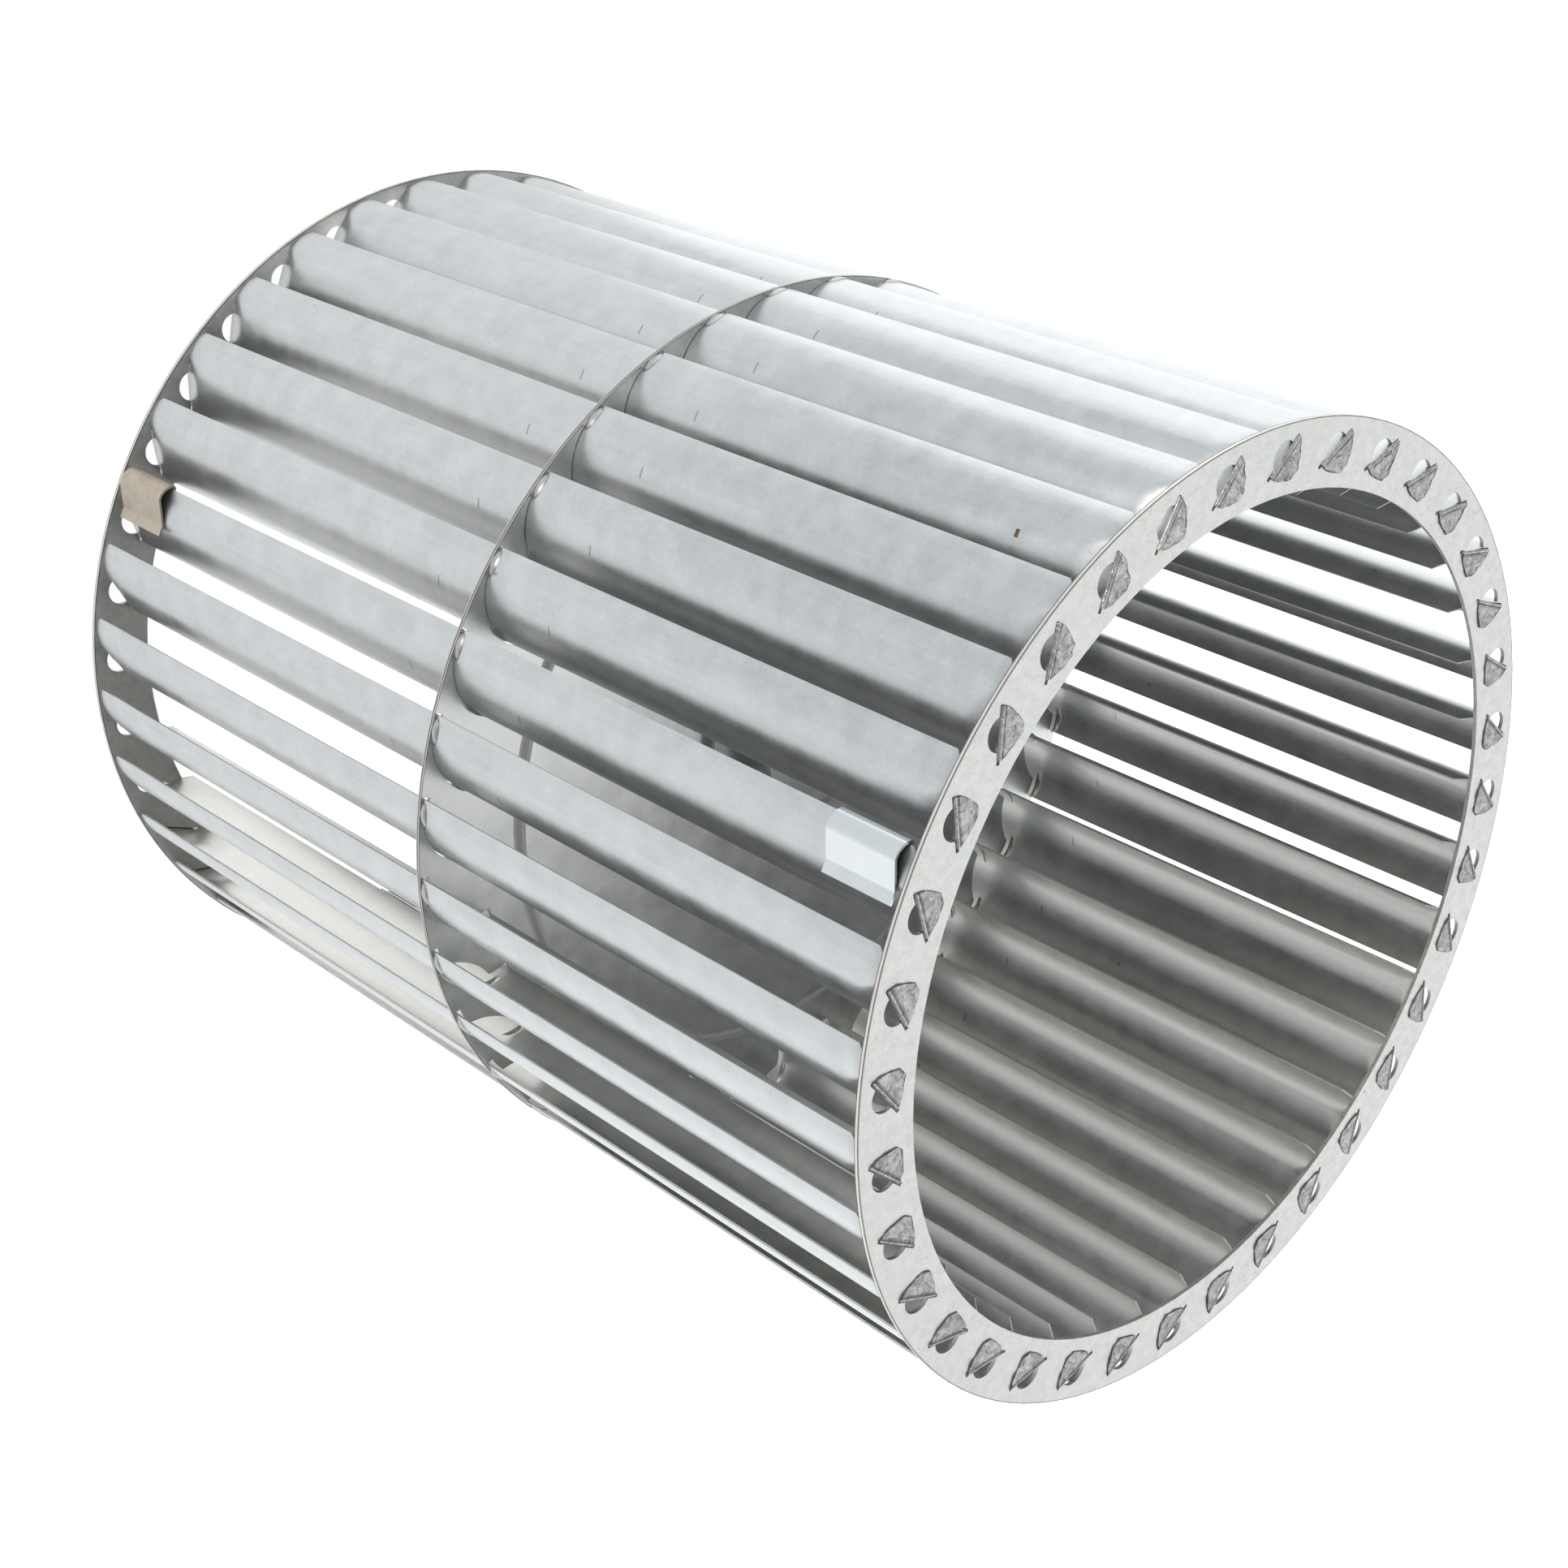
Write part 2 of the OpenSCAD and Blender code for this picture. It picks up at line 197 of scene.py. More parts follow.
def galvanised(name, light, dark, mottle_mm, roughness, speckle=0.0, streak=0.16, relief=0.05,
               laid_flat=False):
    """Zinc-coated sheet: soft mottling, fine grain, streaks along the axis, small pits and nicks."""
    sheet = Sheet(name, roughness, laid_flat=laid_flat)
    cloud = sheet.noise((1 / mm(mottle_mm),) * 3, 4.0, 0.6)
    grain = sheet.noise((1 / mm(0.7),) * 3, 2.0, 0.6)
    streaks = sheet.noise((1 / mm(1.6), 1 / mm(1.6), 1 / mm(70)), 3.0, 0.6)
    tone = sheet.mix("MIX", sheet.ramp(cloud, [(0.32, 0.0), (0.68, 1.0)]), dark, light)
    tone = sheet.mix("OVERLAY", 0.1 + speckle, tone, sheet.ramp(grain, [(0.3, 0.25), (0.7, 0.75)]))
    tone = sheet.mix("OVERLAY", streak, tone, sheet.ramp(streaks, [(0.3, 0.35), (0.7, 0.65)]))
    pits = sheet.ramp(sheet.noise((1 / mm(0.9),) * 3, 1.0, 0.5), [(0.68, 0.0), (0.76, 1.0)])
    tone = sheet.mix("MIX", sheet.maths("MULTIPLY", pits, 0.12 + speckle), tone, scaled(0.5, dark))
    nick = sheet.ramp(sheet.cells((1 / mm(22), 1 / mm(22), 1 / mm(30))), [(0.018, 1.0), (0.03, 0.0)])
    tone = sheet.mix("MIX", sheet.maths("MULTIPLY", nick, 0.6), tone, scaled(0.35, dark))
    wear = sheet.mix("MIX", 0.5, sheet.ramp(cloud, [(0.3, roughness - 0.07), (0.7, roughness + 0.09)]),
                     sheet.ramp(grain, [(0.3, roughness - 0.05), (0.7, roughness + 0.05)]))
    sheet.gloss(wear)
    sheet.bump(sheet.maths("ADD", sheet.maths("MULTIPLY", grain, 0.6), cloud), 0.6, mm(relief))
    sheet.tone = tone
    sheet.paint(tone)
    return sheet


def cut_edge(sheet, radius, rim_tone, line_tone):
    """Paints the outer rim of a round sheet, with thin darker lines along its two corners."""
    x, y, height = (sheet.part_of(axis) for axis in "XYZ")
    reach = sheet.radius(x, y)
    on_rim = sheet.maths("GREATER_THAN", reach, radius - mm(0.06))
    corner = sheet.maths("GREATER_THAN", reach, radius - mm(0.3))
    tone = sheet.mix("MIX", sheet.maths("MULTIPLY", corner, 0.75), sheet.tone, line_tone)
    fold = sheet.maths("PINGPONG", sheet.maths("SUBTRACT", height, mm(0.5)), mm(0.5))
    middle = sheet.near(fold, mm(0.5), mm(0.28))
    rim = sheet.mix("MIX", middle, line_tone, rim_tone)
    sheet.paint(sheet.mix("MIX", on_rim, tone, rim))


def lighten_and_dull_step(sheet, tone):
    """Painted light: paints the disc's pressed step lighter and dulls it, as its slope would else mirror the
    dark of the wheel.
    """
    x, y = (sheet.part_of(axis) for axis in "XY")
    step = sheet.near(sheet.radius(x, y), STEP_R, mm(1.5))
    painted = sheet.shader.inputs["Base Color"].links[0].from_socket
    sheet.paint(sheet.mix("MIX", sheet.maths("MULTIPLY", step, 0.8), painted, tone))
    dulled = sheet.shader.inputs["Roughness"].links[0].from_socket
    sheet.gloss(sheet.maths("MAXIMUM", dulled, sheet.maths("MULTIPLY", step, 0.85)))


def hammered_tab(look):
    """The folded tabs: a painted highlight along the fold, painted shade in the groove beside it, then fine
    wrinkles.
    """
    sheet = galvanised("hammered tab sheet", tuple(look.tab_light), tuple(look.tab_dark), 2.6,
                       look.blade_roughness, speckle=0.05, streak=0.0)
    depth = sheet.stored("tab_depth")
    ridge = sheet.ramp(depth, [(0.0, 1.0), (0.10, 1.0), (0.16, 0.0), (0.22, 0.35), (0.34, 0.5)])
    # Painted highlight: the band along the fold is painted lighter, as the bright line a bend catches
    fold_highlight = sheet.ramp(depth, [(0.09, 0.9), (0.14, 0.0)])
    tone = sheet.mix("MIX", fold_highlight, sheet.tone, scaled(1.2, look.tab_light))
    # Painted shade: the groove beside the fold is painted darker
    groove = sheet.ramp(depth, [(0.12, 0.0), (0.16, 0.55), (0.2, 0.35), (0.27, 0.0)])
    tone = sheet.mix("MIX", groove, tone, scaled(0.45, look.tab_dark))
    veins = sheet.noise((1 / mm(2.1),) * 3, 2.5, 0.5, 1.5)
    tone = sheet.mix("OVERLAY", 0.42, tone, sheet.ramp(veins, [(0.33, 0.15), (0.67, 0.85)]))
    sheet.paint(tone)
    height = sheet.maths("ADD", sheet.maths("MULTIPLY", veins, 0.9), ridge)
    sheet.bump(height, 0.9, mm(0.5))
    return sheet


def marks_and_painted_light(sheet, look):
    """Darkens the beads, most round their feet, paints shade towards the pressed ends, paints warm light on
    the hollow side, and adds the gauge ticks and the speck.
    """
    bead = sheet.stored("bead_mark")
    # The beads are painted darker, most round their feet
    outline = sheet.ramp(bead, [(0.02, 0.0), (0.1, 0.85), (0.22, 0.8), (0.4, 0.35)])
    tone = sheet.mix("MIX", outline, sheet.tone, tuple(look.bead_outline_tone))
    # Painted shade: the sheet darkens within a few millimetres of both ends, where the pressed ends sit in
    # shaded pockets
    ends = sheet.maths("MULTIPLY", sheet.stored("painted_end_shade"), 0.35)
    tone = sheet.mix("MIX", ends, tone, tuple(look.tab_dark))
    # Painted warm light: the hollow sides are made lighter and warmer
    tone = sheet.mix("MULTIPLY", sheet.stored("hollow"), tone, tuple(look.hollow_painted_light))
    arc, number, height = (sheet.part_of(axis) for axis in "XYZ")
    sway = sheet.add("ShaderNodeTexNoise", noise_dimensions="1D")
    sway.inputs["Scale"].default_value = 70.0
    sheet.link(number, sway.inputs["W"])
    place = sheet.maths("MULTIPLY", sheet.maths("SUBTRACT", sway.outputs["Fac"], 0.25), mm(7))
    across = sheet.near(sheet.maths("SUBTRACT", arc, place), 0.0, mm(1.3))
    for level in look.tick_levels:
        tick = sheet.maths("MULTIPLY", sheet.near(height, level, mm(0.22)), across)
        tone = sheet.mix("MIX", sheet.maths("MULTIPLY", tick, 0.75), tone, scaled(0.4, look.blade_dark))
    speck_arc, speck_number, speck_height = look.speck_at
    speck = sheet.maths("MULTIPLY", sheet.near(number, speck_number, mm(5)),
                        sheet.near(arc, speck_arc, mm(0.9)))
    speck = sheet.maths("MULTIPLY", speck, sheet.near(height, speck_height, mm(0.5)))
    sheet.paint(sheet.mix("MIX", speck, tone, tuple(look.speck_tone)))


def finish(node, material):
    """Puts a material on a CAD node's slots."""
    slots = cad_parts[node].data.materials
    if len(slots) == 0:
        slots.append(material)
    for i in range(len(slots)):
        slots[i] = material


# Helpers for modelling

def start_clean():
    """Leaves edit mode and deselects everything."""
    if bpy.context.object and bpy.context.object.mode != "OBJECT":
        bpy.ops.object.mode_set(mode="OBJECT")
    bpy.ops.object.select_all(action="DESELECT")


def pick(piece, test, domain="VERT"):
    """Goes to edit mode and selects the points, edges or faces whose corners all pass the test."""
    bpy.ops.object.mode_set(mode="EDIT")
    bpy.ops.mesh.select_mode(type=domain)
    bpy.ops.mesh.select_all(action="DESELECT")
    bpy.ops.object.mode_set(mode="OBJECT")
    mesh = piece.data
    passed = [test(v.co) for v in mesh.vertices]
    if domain == "VERT":
        mesh.vertices.foreach_set("select", passed)
    for part in {"VERT": [], "EDGE": mesh.edges, "FACE": mesh.polygons}[domain]:
        part.select = all(passed[i] for i in part.vertices)
    bpy.ops.object.mode_set(mode="EDIT")


def lone_point(place):
    """A new piece of one point, ready to be drawn out. It is a plane that is merged to its middle."""
    start_clean()
    bpy.ops.mesh.primitive_plane_add(size=mm(1), location=(0, 0, 0))
    bpy.ops.object.mode_set(mode="EDIT")
    bpy.ops.mesh.select_mode(type="VERT")
    bpy.ops.mesh.select_all(action="SELECT")
    bpy.ops.mesh.merge(type="CENTER")
    bpy.ops.transform.translate(value=place)
    return bpy.context.object


def apply(piece, kind, name, **settings):
    """Adds a modifier to a piece and applies it."""
    bpy.ops.object.mode_set(mode="OBJECT")
    bpy.context.view_layer.objects.active = piece
    modifier = piece.modifiers.new(name, kind)
    for key, value in settings.items():
        setattr(modifier, key, value)
    bpy.ops.object.modifier_apply(modifier=modifier.name)


def face_outwards():
    """Turns all the faces of the active piece outwards."""
    bpy.ops.object.mode_set(mode="EDIT")
    bpy.ops.mesh.select_all(action="SELECT")
    bpy.ops.mesh.normals_make_consistent(inside=False)
    bpy.ops.object.mode_set(mode="OBJECT")


# Sizes and colours that a user can change

def length_property(name, description, millimetres):
    return bpy.props.FloatProperty(name=name, description=description, unit="LENGTH", default=mm(millimetres),
                                   precision=5)


def angle_property(name, description, degrees):
    return bpy.props.FloatProperty(name=name, description=description, subtype="ANGLE",
                                   default=math.radians(degrees))


def colour_property(name, description, colour, most=1.0):
    return bpy.props.FloatVectorProperty(name=name, description=description, subtype="COLOR", size=3,
                                         default=colour, min=0.0, max=most)


def power_property(name, description, watts):
    return bpy.props.FloatProperty(name=name, description=description, default=watts, min=0.0, max=100.0)


class WheelFinish(bpy.types.PropertyGroup):
    """Colours and grain of the wheel's sheet and fittings."""

    blade_light: colour_property("Blade light tone", "Lighter tone of the blades' zinc", (0.62, 0.643, 0.657))
    blade_dark: colour_property("Blade dark tone", "Darker tone of the blades' zinc", (0.538, 0.561, 0.573))
    blade_roughness: bpy.props.FloatProperty(
        name="Blade roughness", description="Dullness of the blades", default=0.36, min=0.1, max=0.9)
    # Painted warm light on the blades' hollow sides, lighter and warmer than the sheet
    hollow_painted_light: colour_property("Hollow side tint", "Tint of the blades' hollow sides",
                                 (1.07, 1.025, 0.965), 1.5)
    tab_light: colour_property("Tab light tone", "Lighter tone of the hammered tabs", (0.47, 0.455, 0.45))
    tab_dark: colour_property("Tab dark tone", "Darker tone of the hammered tabs", (0.31, 0.30, 0.295))
    ring_light: colour_property("Ring light tone", "Lighter tone of the end rings", (0.715, 0.71, 0.695))
    ring_dark: colour_property("Ring dark tone", "Darker tone of the end rings", (0.575, 0.57, 0.555))
    # Dark tone of the beads, strongest round their feet
    bead_outline_tone: colour_property("Worked tone", "Tone of the staked beads", (0.20, 0.175, 0.165))
    disc_light: colour_property("Disc light tone", "Lighter tone of the centre disc", (0.77, 0.775, 0.765))
    disc_dark: colour_property("Disc dark tone", "Darker tone of the centre disc", (0.60, 0.61, 0.605))
    edge_tone: colour_property("Cut edge tone", "Tone of the cut outer edges", (0.20, 0.175, 0.165))
    tick_levels: bpy.props.FloatVectorProperty(
        name="Tick heights", description="Heights of the two gauge ticks on each blade", unit="LENGTH",
        size=2, default=(mm(127.0), mm(167.5)))
    speck_at: bpy.props.FloatVectorProperty(
        name="Brown speck", description="Place of the brown speck on the unrolled blades", unit="LENGTH",
        size=3, default=(mm(1.9), 33 * BLADE_APART, mm(265.1)))
    speck_tone: colour_property("Speck tone", "Tone of the brown speck", (0.16, 0.11, 0.07))
    # Painted highlight: the blades' cut edges are painted lighter than the sheet, as the highlight their
    # edges catch
    edge_highlight_light: colour_property("Edge light tone", "Lighter tone of the blades' edges", (0.80, 0.80, 0.79))
    edge_highlight_dark: colour_property("Edge dark tone", "Darker tone of the blades' edges", (0.66, 0.66, 0.65))
    hub_light: colour_property("Hub light tone", "Lighter tone of the turned hub", (0.56, 0.57, 0.58))
    hub_dark: colour_property("Hub dark tone", "Darker tone of the turned hub", (0.40, 0.41, 0.42))
    rivet_light: colour_property("Rivet light tone", "Lighter tone of the rivets", (0.62, 0.63, 0.64))
    rivet_dark: colour_property("Rivet dark tone", "Darker tone of the rivets", (0.48, 0.49, 0.50))
    screw_light: colour_property("Screw light tone", "Lighter tone of the set screw", (0.07, 0.07, 0.07))
    screw_dark: colour_property("Screw dark tone", "Darker tone of the set screw", (0.03, 0.03, 0.03))
    bright_light: colour_property("Bright clip light tone", "Lighter tone of the front clip",
                                  (0.74, 0.78, 0.80))
    bright_dark: colour_property("Bright clip dark tone", "Darker tone of the front clip", (0.70, 0.74, 0.76))
    tan_light: colour_property("Tan clip light tone", "Lighter tone of the back clip", (0.55, 0.49, 0.425))
    tan_dark: colour_property("Tan clip dark tone", "Darker tone of the back clip", (0.45, 0.40, 0.34))
    mottle: bpy.props.FloatProperty(
        name="Mottle size", description="Size of the soft patches in the zinc, in millimetres",
        default=7.0, min=2.0, max=30.0)


class BladeSizes(bpy.types.PropertyGroup):
    """Sizes of one blade of bent sheet. They follow the frame's own."""

    sheet: length_property("Sheet", "Thickness of the blade sheet", 0.5)
    chord: length_property("Chord", "Straight distance between the long edges", 26.3)
    curve_r: length_property("Curve radius", "Radius of the convex face", 15.9)
    chord_r: length_property("Chord distance", "Distance from the axis to the middle of the chord", 109.91)
    tilt: angle_property("Tilt", "Angle between the chord and the wheel's tangent", 43)
    foot: length_property("Foot", "Height of the blade's lower shoulders", 1.5)
    length: length_property("Length", "Distance between the end rings", 288.0)
    ring_t: length_property("Ring sheet", "Thickness of the end rings", 1.0)
    disc_t: length_property("Disc sheet", "Thickness of the centre disc", 1.0)
    press_len: length_property("Pressed length", "Length over which the ends are pressed flat", 7.0)
    root_rise: length_property("Root rise", "Height of the flattened tab root above the chord", 4.9)
    tab_w: length_property("Tab width", "Width of an end tab", 12.4)
    tab_shift: length_property("Tab shift", "Shift of a tab from the middle of the chord", 1.1)
    tab_reach: length_property("Tab reach", "Reach of a folded tab", 6.8)
    tab_point: length_property("Tab point", "Half width of the tab's blunt point", 1.3)
    tab_taper: bpy.props.FloatProperty(
        name="Tab taper", description="Slope of the tab's sides near its fold", default=0.18,
        min=0.0, max=1.0)
    tab_flank: bpy.props.FloatProperty(
        name="Tab flank", description="Slope of the tab's flanks towards its point", default=1.1,
        min=0.1, max=3.0)
    tab_soft: length_property("Tab softness", "How softly the tab's sides run into its flanks", 0.6)
    fold_r: length_property("Fold radius", "Middle radius of the tab's fold", 0.45)
    tip_corner: length_property("Tip corner", "Cut-off of the outer corners", 1.5)
    heel_corner: length_property("Heel corner", "Cut-off of the inner corners", 2.5)
    bead_rise: length_property("Bead rise", "Height of the staked bead", 0.6)
    bead_half: length_property("Bead half length", "Half of the bead's length", 3.5)
    bead_r: length_property("Bead radius", "Radius of the bead's section", 1.5)
    bead_edge: length_property("Bead edge", "Distance from the outer edge to the outer bead", 0.5)
    inner_bead: angle_property("Inner bead", "Angle from the crown to the inner bead", 28)
    wrinkle: length_property("Wrinkle", "Depth of the dents hammered into the tabs", 0.42)


class ClipSizes(bpy.types.PropertyGroup):
    """Sizes of a balance clip's section. Angles are measured from the crown of the blade's curve."""

    on_blade: bpy.props.IntProperty(name="Blade", description="Blade that carries the two clips", default=30)
    sheet: length_property("Sheet", "Thickness of the clip sheet", 0.6)
    gap: length_property("Gap", "Gap between a clip and its blade", 0.1)
    bend_r: length_property("Bend radius", "Middle radius of the bend round the blade's edge", 0.66)
    bend_turn: angle_property("Bend turn", "Turn of the bend round the blade's edge", 120)
    shoulder_r: length_property("Shoulder radius", "Radius of the round shoulder above the flat leaf", 3.9)
    shoulder_turn: angle_property("Shoulder turn", "Turn of the round shoulder", 80)
    kink: angle_property("Kink", "Where the flat leaf touches the blade", 19.5)
    lip: angle_property("Lip", "Where the lip ends", 11)
    lip_rise: length_property("Lip rise", "Height of the lip's end above the blade", 1.85)
    seat: angle_property("Seat", "Where the back leaf leaves the blade", 55)
    back: angle_property("Back end", "Where the back leaf ends", 33)


class WheelStudio(bpy.types.PropertyGroup):
    """Camera, floor and lights."""

    camera_at: bpy.props.FloatVectorProperty(
        name="Camera place", description="Where the camera stands", subtype="TRANSLATION", unit="LENGTH",
        size=3, default=(-0.45129, 0.26000, 0.58234))
    camera_turn: bpy.props.FloatVectorProperty(
        name="Camera turn", description="How the camera is turned", subtype="EULER", size=3,
        default=(-0.45817, -0.77881, 0.10471))
    camera_lens: bpy.props.FloatProperty(
        name="Lens", description="Focal length in millimetres on a 36 mm frame", default=58.77,
        min=10.0, max=200.0)
    camera_shift: bpy.props.FloatVectorProperty(
        name="Lens shift", description="Small shift of the picture to the right and up", size=2,
        default=(-0.0160, -0.0523))
    floor_size: bpy.props.FloatProperty(
        name="Floor size", description="Width of the square floor", unit="LENGTH", default=12.0, min=1.0)
    floor_colour: colour_property("Floor colour", "Colour of the floor", (0.25, 0.25, 0.25))
    sky: bpy.props.FloatProperty(
        name="Room brightness", description="Brightness of the even light all round", default=0.5,
        min=0.0, max=3.0)
    sky_colour: colour_property("Room colour", "Colour of the even light all round", (0.93, 1.0, 0.985))
    floor_glow: bpy.props.FloatProperty(
        name="Floor glow", description="Light that the lit paper floor gives by itself", default=1.35,
        min=0.1, max=2.0)
    plain_glow: bpy.props.FloatProperty(
        name="Plain glow", description="Glow of the paper round the wheel", default=0.9, min=0.0, max=2.0)
    far_glow: bpy.props.FloatProperty(
        name="Far glow", description="Share of the full glow far away on the lit side", default=0.88,
        min=0.0, max=1.0)
    dusk_way: bpy.props.FloatVectorProperty(
        name="Shaded side", description="Direction in which the paper's glow falls off", size=2,
        default=(-0.55, 0.84))
    dusk_reach: bpy.props.FloatVectorProperty(
        name="Fall-off", description="Distances between which the paper's glow falls off", unit="LENGTH",
        size=2, default=(0.24, 0.36))
    dusk_colour: colour_property("Shaded colour", "Glow of the paper past the fall-off", (0.67, 0.70, 0.72))
    top_power: power_property("Top light", "Power of the soft light above, in watts", 6.0)
    card_power: power_property("Ring light", "Power of the light that the end ring mirrors, in watts", 8.0)
    front_power: power_property("Front light", "Power of the warm light at the front, in watts", 9.0)
    front_tint: colour_property("Front tint", "Colour of the warm light at the front", (1.0, 0.93, 0.87))


# Places on a blade, whose own X runs along its chord to the tip and Y to its convex side

def half_turn(size):
    """Angle from the crown of the blade's curve to its edge."""
    return math.asin(size.chord / 2 / size.curve_r)


def curve_middle(size):
    return Vector((0, -math.sqrt(size.curve_r ** 2 - (size.chord / 2) ** 2), 0))


def on_curve(size, radius, angle):
    return curve_middle(size) + radius * Vector((math.sin(angle), math.cos(angle), 0))


def blade_seat(size, number):
    """Moves a piece from the blade's own frame to blade number 1, 2, 3 and so on."""
    turn = Matrix.Rotation(-2 * math.pi * (number - 1) / len(BLADES), 4, "Z")
    return turn @ Matrix.Translation((0, size.chord_r, size.foot)) @ Matrix.Rotation(size.tilt, 4, "Z")


def wind(angle, middle, steps):
    """Spins the selected points about an upright line, anticlockwise from above if the angle is positive."""
    bpy.ops.mesh.spin(steps=steps, angle=abs(angle), center=middle, axis=(0, 0, -1 if angle > 0 else 1))


# Operators

class WHEEL_OT_blades(bpy.types.Operator):
    """Bends one blade out of sheet, with its tabs and beads, and copies it round the wheel"""

    bl_idname = "wheel.blades"
    bl_label = "Make the blades"

    # Numbers of the blade's materials, past the plain sheet's own 0
    TAB_FACE, TAB_EDGE, CUT_EDGE = 1, 2, 3

    def curved_sheet(self, size):
        """A line of points up the blade, swept round its curve. It lies in the middle of the sheet."""
        tip = self.arc_half
        sheet = lone_point(on_curve(size, self.mid_r, tip))
        # The rows are close together where the sheet is pressed flat and where its beads are
        end_rows = [mm(v) for v in (0, 0.7, 1.5, 2.5, 3.6, 5.0, 7.0)]
        bead_rows = [mm(v) for v in (0, 0.03, 0.3, 0.6, 0.9, 1.2, 1.5, 1.8, 2.05, 2.3)]
        half = size.length / 2
        rows = end_rows + [half - size.disc_t / 2 - z for z in reversed(bead_rows)]
        rows += [size.length - z for z in reversed(rows)]
        for low, high in zip(rows, rows[1:]):
            bpy.ops.mesh.extrude_vertices_move(TRANSFORM_OT_translate={"value": (0, 0, high - low)})
        bpy.ops.mesh.select_all(action="SELECT")
        wind(2 * tip, curve_middle(size), 48)
        for side in (-1, 1):
            bpy.ops.mesh.select_all(action="SELECT")
            bpy.ops.mesh.bisect(plane_co=(self.tab_x + side * size.tab_w / 2, 0, 0), plane_no=(1, 0, 0))
        self.rows = rows
        return sheet

    def press_ends(self, sheet, size):
        """Flattens the rows near both ends, as a press does."""
        flat = size.root_rise - size.sheet / 2
        crown = self.arc_y + self.mid_r
        for row in self.rows:
            gap = min(row, size.length - row)
            level = flat + gap * (crown - flat) / size.press_len
            if gap >= size.press_len - mm(0.1):
                continue
            pick(sheet, lambda co: abs(co.z - row) < mm(0.01) and co.y > level - mm(0.001))
            bpy.ops.transform.resize(value=(1, 0, 1), center_override=(0, level, row))

    def cut_corner(self, sheet, size, angle, cut, z, outward):
        """Takes one corner off the sheet at 45 degrees."""
        along = Vector((math.cos(angle), -math.sin(angle), 0)) * (1 if angle > 0 else -1)
        corner = on_curve(size, self.mid_r, angle) + Vector((0, 0, z))
        pick(sheet, lambda co: (co - corner).length < 3 * cut + mm(2), "FACE")
        bpy.ops.mesh.bisect(plane_co=corner - along * cut, plane_no=along + Vector((0, 0, outward)),
                            clear_outer=True)

    def fold_tab(self, sheet, size, z, outward):
        """Draws the tab out of the end, folds it over the ring and spreads it into a shield."""
        left, right = self.tab_x - size.tab_w / 2, self.tab_x + size.tab_w / 2
        pick(sheet, lambda co: abs(co.z - z) < mm(0.01) and left - mm(0.01) < co.x < right + mm(0.01), "EDGE")
        root = size.ring_t - (size.fold_r - size.sheet / 2)
        bpy.ops.mesh.extrude_edges_move(TRANSFORM_OT_translate={"value": (0, 0, outward * root)})
        fold_y = size.root_rise - size.sheet / 2 - size.fold_r
        fold_z = z + outward * root
        bpy.ops.mesh.spin(steps=5, angle=math.pi / 2, center=(0, fold_y, fold_z), axis=(-outward, 0, 0))
        face_z = fold_z + outward * size.fold_r
        reach = size.tab_reach - (size.root_rise - fold_y)
        steps = 11
        soft = size.tab_soft
        widths = [size.tab_w / 2]
        for i in range(1, steps + 1):
            drawn = reach * i / steps
            side = size.tab_w / 2 - size.tab_taper * drawn
            flank = size.tab_point + size.tab_flank * (reach - drawn)
            widths.append(-soft * math.log(math.exp(-side / soft) + math.exp(-flank / soft)))
        for i in range(steps):
            bpy.ops.mesh.extrude_edges_move(TRANSFORM_OT_translate={"value": (0, -reach / steps, 0)})
            ratio = widths[i + 1] / widths[i]
            bpy.ops.transform.resize(value=(ratio, 1, 1), center_override=(self.tab_x, fold_y, face_z))

    def weigh(self, sheet, size):
        """Marks where the beads stand out and where the tabs wrinkle, and lays the pattern flat."""
        end_fade, tab_fade = mm(3.0), mm(1.5)
        bpy.ops.object.mode_set(mode="OBJECT")
        bead = sheet.vertex_groups.new(name="bead")
        tab = sheet.vertex_groups.new(name="tab")
        marks = {"bead_mark": [], "painted_end_shade": [], "tab_depth": []}
        flat = []
        outer = self.arc_half - (size.bead_edge + size.bead_half) / size.curve_r
        for v in sheet.data.vertices:
            angle = math.atan2(v.co.x, v.co.y - self.arc_y)
            up = v.co.z - (size.length + size.disc_t) / 2
            lean = size.bead_r ** 2 - (up - size.bead_r / 2) ** 2
            share = 0.0
            for middle in (outer, -size.inner_bead):
                x = (angle - middle) * size.curve_r
                if up > mm(0.01) and lean > 0 and abs(x) < size.bead_half:
                    rise = size.bead_rise * (1 - (x / size.bead_half) ** 2) - (size.bead_r - math.sqrt(lean))
                    if rise > 0:
                        bead.add([v.index], rise / size.bead_rise, "REPLACE")
                        share = rise / size.bead_rise if middle == outer else 0.0
            from_end = min(v.co.z, size.length - v.co.z)
            marks["bead_mark"].append(share)
            # Painted shade, strongest at both ends of the blade
            marks["painted_end_shade"].append(min(1.0, max(0.0, 1.0 - from_end / end_fade)))
            marks["tab_depth"].append(max(0.0, (size.root_rise - v.co.y) / size.tab_reach))
            flat.extend((angle * self.mid_r, 0.0, v.co.z))
            if v.co.z < -size.ring_t or v.co.z > size.length + size.ring_t:
                depth = size.root_rise - size.fold_r - v.co.y
                tab.add([v.index], min(1.0, max(0.0, depth / tab_fade)), "REPLACE")
        for name, values in marks.items():
            sheet.data.attributes.new(name, "FLOAT", "POINT").data.foreach_set("value", values)
        sheet.data.attributes.new("flat", "FLOAT_VECTOR", "POINT").data.foreach_set("vector", flat)

    def dress(self, sheet, look):
        """Adds the blade's materials, in the order of their numbers above."""
        metal = galvanised("blade sheet", tuple(look.blade_light), tuple(look.blade_dark), look.mottle,
                           look.blade_roughness, laid_flat=True)
        marks_and_painted_light(metal, look)
